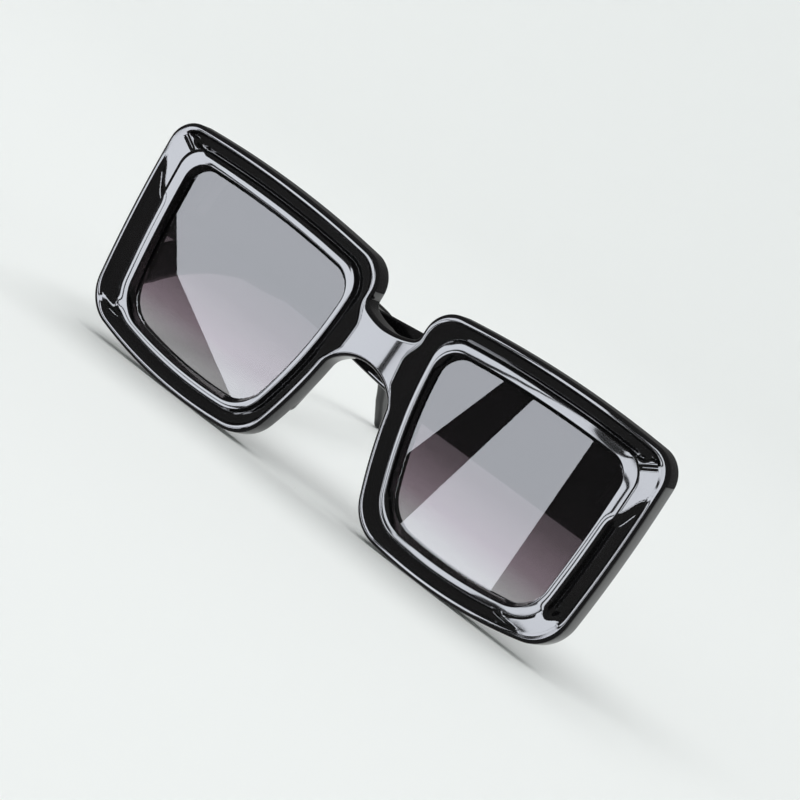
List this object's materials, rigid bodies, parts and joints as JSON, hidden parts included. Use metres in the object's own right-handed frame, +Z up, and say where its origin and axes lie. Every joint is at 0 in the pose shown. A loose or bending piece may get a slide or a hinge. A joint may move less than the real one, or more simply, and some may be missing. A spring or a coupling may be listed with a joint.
{
  "type": "sunglasses",
  "caption": "Oversized square sunglasses with a deep grooved glossy black front, gradient lenses and wide folding temples on metal hinges.",
  "frame": {"origin": "middle of the arch under the bridge that sits on the nose, halfway through its depth", "axes": "+X towards the wearer's left, -Y the way the front faces, +Z up with the rims and the opened right temple's tip standing level"},
  "size_m": [0.1486, 0.1498, 0.0541],
  "materials": {
    "black_frame": "polished jet black",
    "black_temple": "polished jet black",
    "tinted_lens": "polished, grey at the top fading through mauve to nearly clear",
    "hinge_steel": "satin"
  },
  "bodies": {
    "front": {"front_frame": "black_frame", "lens_left": "tinted_lens", "front_hinge_leaf_left": "hinge_steel", "front_rivets_left": "hinge_steel", "hinge_screw_left": "hinge_steel", "lens_right": "tinted_lens", "front_hinge_leaf_right": "hinge_steel", "front_rivets_right": "hinge_steel", "hinge_screw_right": "hinge_steel"},
    "left_temple": {"temple_left": "black_temple", "temple_core_left": "hinge_steel", "temple_hinge_leaf_left": "hinge_steel", "temple_rivets_left": "hinge_steel"},
    "right_temple": {"temple_right": "black_temple", "temple_core_right": "hinge_steel", "temple_hinge_leaf_right": "hinge_steel", "temple_rivets_right": "hinge_steel"}
  },
  "joints": [
    {"name": "left_temple_hinge", "type": "hinge", "parent": "front", "child": "left_temple", "pos_m": [0.06575, 0.00786, 0.00364], "axis": [0, -0.0741, -0.9972], "range_deg": [0, 91.38]},
    {"name": "right_temple_hinge", "type": "hinge", "parent": "front", "child": "right_temple", "pos_m": [-0.06575, 0.00786, 0.00364], "axis": [0, -0.0741, -0.9972], "range_deg": [0, 87.7]}
  ]
}
